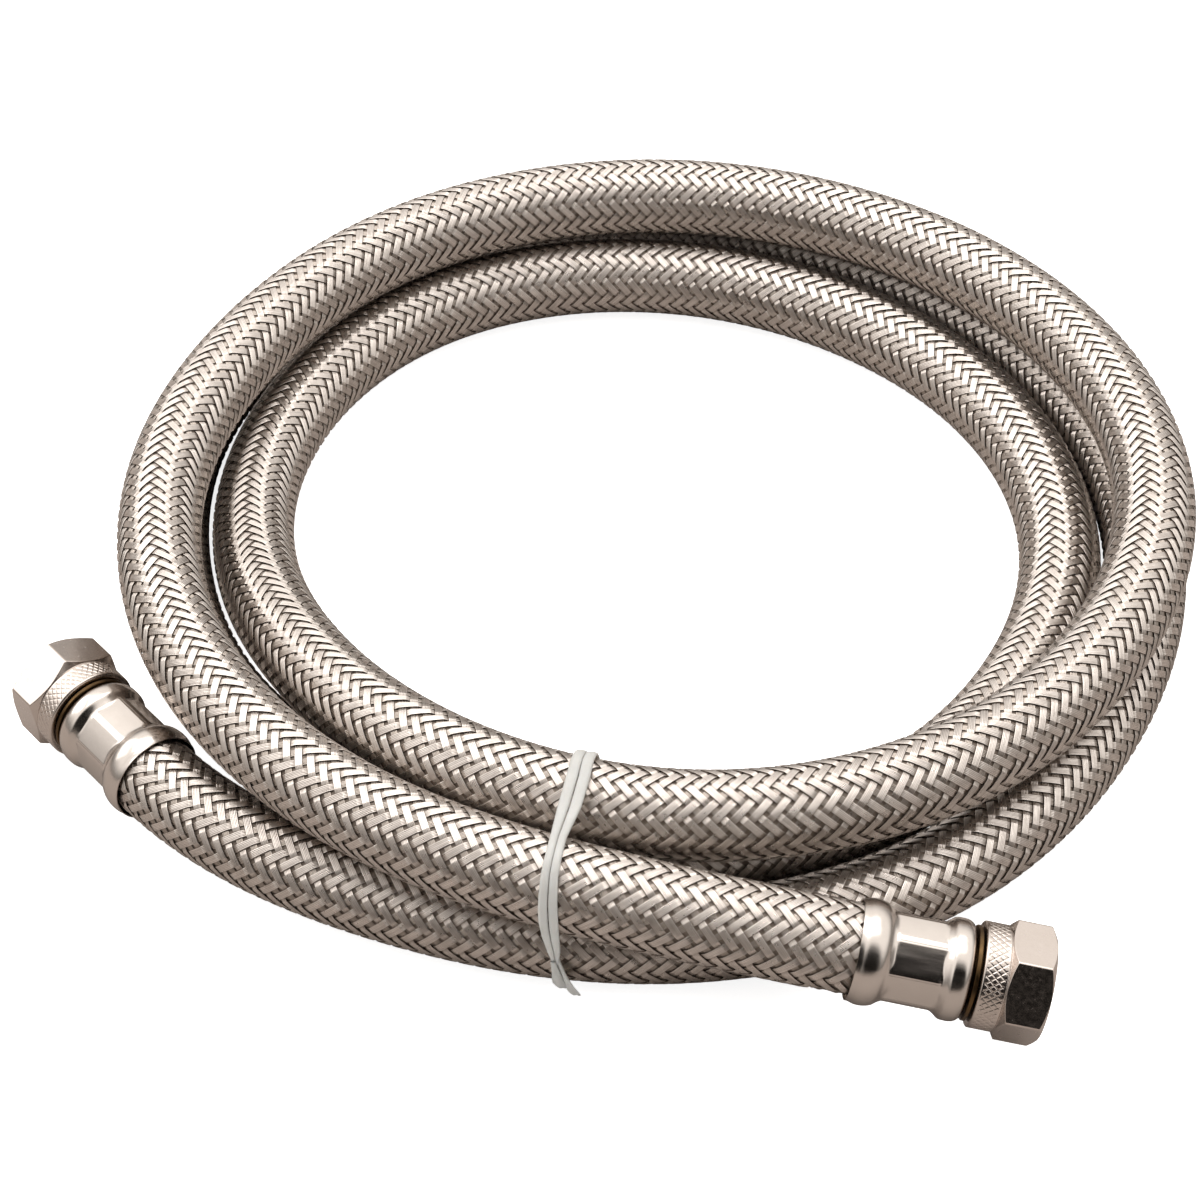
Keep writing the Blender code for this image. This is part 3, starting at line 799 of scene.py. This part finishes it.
def braid_material():
    nodes = Nodes("braided_steel")
    height = nodes.add("Attribute", attribute_name="weave_height").outputs["Fac"]
    # Painted shade: where a band dives under a crossing band (low weave_height), its colour is
    # mixed towards a darker brown.
    lit = nodes.spread(height, 0.0, 1.0, 0.1, 0.75)
    patch = nodes.spread(nodes.noise(420.0, 4.0), 0.0, 1.0, 0.35, 0.65)
    wire = nodes.mix(patch, (0.65, 0.585, 0.535), (0.78, 0.71, 0.655))
    wire_with_under_shade = nodes.mix(lit, (0.42, 0.365, 0.32), wire)
    # Painted shade: the low end of the wire tone darkens the valleys between wires and the band's
    # edges towards a dark brown. The ridges keep their random tone.
    tone_and_groove_shade = nodes.add("Attribute", attribute_name="wire_tone_and_groove_shade").outputs["Fac"]
    nodes.feed("Base Color", nodes.mix(tone_and_groove_shade, (0.20, 0.17, 0.145), wire_with_under_shade))
    nodes.feed("Metallic", 1.0)
    nodes.feed("Roughness", nodes.spread(nodes.noise(900.0, 2.0), 0.24, 0.40))
    nodes.feed("Normal", nodes.bump(nodes.noise(2600.0, 3.0), 0.12, 0.00012))
    return nodes.material


def liner_material():
    nodes = Nodes("hose_rubber")
    patch = nodes.noise(180.0, 4.0)
    nodes.feed("Base Color", nodes.mix(patch, (0.165, 0.126, 0.098), (0.27, 0.212, 0.17)))
    nodes.feed("Roughness", nodes.spread(nodes.noise(600.0), 0.45, 0.7))
    nodes.feed("Normal", nodes.bump(nodes.noise(1500.0), 0.25, 0.0002))
    return nodes.material


def ferrule_material():
    nodes = Nodes("polished_stainless")
    patch = nodes.noise(260.0, 4.0)
    nodes.feed("Base Color", nodes.mix(patch, (0.53, 0.474, 0.431), (0.59, 0.533, 0.487)))
    nodes.feed("Metallic", 1.0)
    streaks = nodes.noise(900.0, 4.0, stretch=(1.0, 1.0, 0.12))
    nodes.feed("Roughness", nodes.spread(streaks, 0.15, 0.26))
    nodes.feed("Normal", nodes.bump(nodes.noise(1100.0, 3.0), 0.10, 0.00006))
    return nodes.material


def nut_material():
    nodes = Nodes("nickel_plate")
    patch = nodes.noise(240.0, 4.0)
    nodes.feed("Base Color", nodes.mix(patch, (0.51, 0.443, 0.394), (0.56, 0.493, 0.448)))
    nodes.feed("Metallic", 1.0)
    nodes.feed("Roughness", nodes.spread(nodes.noise(1300.0, 4.0), 0.17, 0.28))
    nodes.feed("Normal", nodes.bump(nodes.noise(1900.0, 4.0), 0.10, 0.00006))
    return nodes.material


def brass_material():
    nodes = Nodes("brass")
    patch = nodes.noise(500.0, 4.0)
    # Painted shade: the brass is darkened far below its own colour, because the collar lies in the
    # shade between the nut and the ferrule. The noise mixes darker and lighter patches.
    nodes.feed("Base Color", nodes.mix(patch, (0.05, 0.036, 0.022), (0.17, 0.098, 0.04)))
    nodes.feed("Metallic", 1.0)
    nodes.feed("Roughness", nodes.spread(nodes.noise(1500.0), 0.28, 0.42))
    nodes.feed("Normal", nodes.bump(nodes.noise(2400.0), 0.1, 0.0001))
    return nodes.material


def seal_material():
    nodes = Nodes("seal_rubber")
    patch = nodes.noise(500.0)
    nodes.feed("Base Color", nodes.mix(patch, (0.016, 0.016, 0.017), (0.04, 0.04, 0.042)))
    nodes.feed("Roughness", nodes.spread(nodes.noise(900.0), 0.5, 0.72))
    nodes.feed("Normal", nodes.bump(nodes.noise(2600.0), 0.2, 0.0001))
    return nodes.material


def tie_material():
    nodes = Nodes("tie_plastic")
    patch = nodes.noise(320.0, 4.0)
    nodes.feed("Base Color", nodes.mix(patch, (0.43, 0.424, 0.402), (0.52, 0.513, 0.49)))
    nodes.feed("Roughness", nodes.spread(nodes.noise(800.0), 0.32, 0.5))
    nodes.feed("Subsurface Weight", 0.25)
    nodes.shader.inputs["Subsurface Radius"].default_value = (0.002, 0.0017, 0.0014)
    nodes.shader.inputs["Subsurface Scale"].default_value = 1.0
    nodes.feed("Normal", nodes.bump(nodes.noise(1400.0), 0.2, 0.0002))
    return nodes.material


def dress(obj, material):
    """Gives a piece its only material."""
    obj.data.materials.clear()
    obj.data.materials.append(material)


# ---------------------------------------------------------------- stage


def make_camera():
    data = bpy.data.cameras.new("camera")
    data.lens = CAMERA_LENS
    data.sensor_width = 36.0
    data.clip_start = 0.01
    data.clip_end = 50.0
    camera = bpy.data.objects.new("camera", data)
    camera.location = Vector(CAMERA_PLACE) * MM
    camera.rotation_euler = (math.radians(CAMERA_TILT), 0.0, 0.0)
    bpy.context.scene.collection.objects.link(camera)
    bpy.context.scene.camera = camera


def make_world():
    """Bright all round and above, with the dark of the room behind the camera's usual place."""
    world = bpy.data.worlds.new("studio")
    world.use_nodes = True
    tree = world.node_tree
    tree.nodes.clear()

    def add(kind, **settings):
        node = tree.nodes.new("ShaderNode" + kind)
        for key, value in settings.items():
            setattr(node, key, value)
        return node

    coordinates = add("TexCoord")
    parts = add("SeparateXYZ")
    tree.links.new(coordinates.outputs["Generated"], parts.inputs[0])
    sky = add("MapRange", interpolation_type="SMOOTHSTEP")
    sky.inputs["From Min"].default_value = SKY_RISE[0]
    sky.inputs["From Max"].default_value = SKY_RISE[1]
    tree.links.new(parts.outputs["Z"], sky.inputs["Value"])
    bright = add("Mix", data_type="RGBA")
    bright.inputs[6].default_value = SKY_LOW
    bright.inputs[7].default_value = SKY_HIGH
    tree.links.new(sky.outputs["Result"], bright.inputs["Factor"])
    dot = add("VectorMath", operation="DOT_PRODUCT")
    elevation = math.radians(ROOM_ELEVATION)
    dot.inputs[1].default_value = Vector((0.0, -math.cos(elevation), math.sin(elevation)))
    tree.links.new(coordinates.outputs["Generated"], dot.inputs[0])
    dark = add("MapRange", interpolation_type="SMOOTHSTEP")
    dark.inputs["From Min"].default_value = math.cos(math.radians(ROOM_REACH[0]))
    dark.inputs["From Max"].default_value = math.cos(math.radians(ROOM_REACH[1]))
    tree.links.new(dot.outputs["Value"], dark.inputs["Value"])
    mix = add("Mix", data_type="RGBA")
    tree.links.new(bright.outputs[2], mix.inputs[6])
    mix.inputs[7].default_value = ROOM_DARK
    tree.links.new(dark.outputs["Result"], mix.inputs["Factor"])
    path = add("LightPath")
    seen = add("Mix", data_type="RGBA")
    seen.inputs[7].default_value = WHITE
    tree.links.new(path.outputs["Is Camera Ray"], seen.inputs["Factor"])
    tree.links.new(mix.outputs[2], seen.inputs[6])
    background = add("Background")
    background.inputs["Strength"].default_value = 1.0
    tree.links.new(seen.outputs[2], background.inputs["Color"])
    output = add("OutputWorld")
    tree.links.new(background.outputs["Background"], output.inputs["Surface"])
    bpy.context.scene.world = world


def make_floor():
    size = FLOOR_SIZE
    mesh = bpy.data.meshes.new("floor")
    corners = [(-size, -size, 0), (size, -size, 0), (size, size, 0), (-size, size, 0)]
    mesh.from_pydata(corners, [], [(0, 1, 2, 3)])
    floor = bpy.data.objects.new("floor", mesh)
    bpy.context.scene.collection.objects.link(floor)
    nodes = Nodes("floor")
    nodes.shader.inputs["Base Color"].default_value = FLOOR_COLOUR
    nodes.feed("Roughness", 0.9)
    nodes.feed("Specular IOR Level", 0.1)
    nodes.shader.inputs["Emission Color"].default_value = WHITE
    # In the metal's reflections the table is darker than the blown-out white that shows.
    tree = nodes.tree
    path = nodes.add("LightPath")
    shade = nodes.add("BsdfDiffuse")
    shade.inputs["Color"].default_value = FLOOR_IN_METAL
    blend = nodes.add("MixShader")
    output = tree.nodes["Material Output"]
    glow = nodes.spread(path.outputs["Is Camera Ray"], 0.0, FLOOR_GLOW, 0.0, 1.0)
    nodes.feed("Emission Strength", glow)
    nodes.link(path.outputs["Is Glossy Ray"], blend.inputs[0])
    nodes.link(nodes.shader.outputs["BSDF"], blend.inputs[1])
    nodes.link(shade.outputs["BSDF"], blend.inputs[2])
    nodes.link(blend.outputs["Shader"], output.inputs["Surface"])
    mesh.materials.append(nodes.material)


def make_light(name, place, size, power):
    """A soft rectangular light turned towards the middle of the coil."""
    data = bpy.data.lights.new(name, "AREA")
    data.shape = "RECTANGLE"
    data.size, data.size_y = size
    data.energy = power
    light = bpy.data.objects.new(name, data)
    light.location = place
    light.rotation_euler = (-Vector(place)).to_track_quat("-Z", "Y").to_euler()
    bpy.context.scene.collection.objects.link(light)


# ---------------------------------------------------------------- build


def add_hose():
    route = Route(BRAID_REACH)
    core = liner_piece(route)
    dress(core, liner_material())
    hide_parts("inner_liner")
    steel = braid_material()
    for index in range(STRANDS):
        strand = braid_piece(route, index)
        dress(strand, steel)
        strand.parent = core
    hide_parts("hose_braid")
    return core


def add_fitting(letter, angle, sign, nut_turn, ferrule_turn, materials):
    matrix = fitting_matrix(angle, sign)
    body = "nut_" + letter
    pieces = (
        (ferrule("ferrule_sleeve_" + letter, ord(letter)), "ferrule", "ferrule_" + letter, "hose",
         ferrule_turn),
        (stem("stem_insert_" + letter), "brass", "stem_" + letter, "hose", 0.0),
        (swivel_nut("nut_" + letter + "_knurled"), "nut", "swivel_nut_" + letter, body, nut_turn),
        (seal("seal_ring_" + letter), "seal", "cone_seal_" + letter, body, 0.0),
    )
    made = []
    for obj, slot, node, rides, turn in pieces:
        obj.matrix_world = matrix @ Matrix.Rotation(math.radians(turn), 4, "Z")
        dress(obj, materials[slot])
        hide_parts(node)
        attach(obj, rides)
        made.append(obj)
    return made


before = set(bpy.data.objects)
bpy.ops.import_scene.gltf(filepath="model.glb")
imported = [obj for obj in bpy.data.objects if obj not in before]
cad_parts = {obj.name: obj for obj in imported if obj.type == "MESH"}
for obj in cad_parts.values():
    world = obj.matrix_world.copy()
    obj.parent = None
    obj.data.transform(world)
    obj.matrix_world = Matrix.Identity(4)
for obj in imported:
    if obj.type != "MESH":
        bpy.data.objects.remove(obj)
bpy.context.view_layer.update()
bpy.context.scene.view_settings.view_transform = "Standard"
make_camera()
core = add_hose()
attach(core, "hose")
metals = {
    "ferrule": ferrule_material(),
    "nut": nut_material(),
    "brass": brass_material(),
    "seal": seal_material(),
}
end_a = add_fitting("a", START_ANGLE, -1, NUT_TURN_A, FERRULE_TURN_A, metals)
end_b = add_fitting("b", END_ANGLE, 1, NUT_TURN_B, FERRULE_TURN_B, metals)
wrap = tie_piece()
dress(wrap, tie_material())
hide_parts("tie")
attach(wrap, "hose")
make_world()
make_floor()
make_light("softbox", *SOFTBOX)
make_light("side_softbox", *SIDE_SOFTBOX)
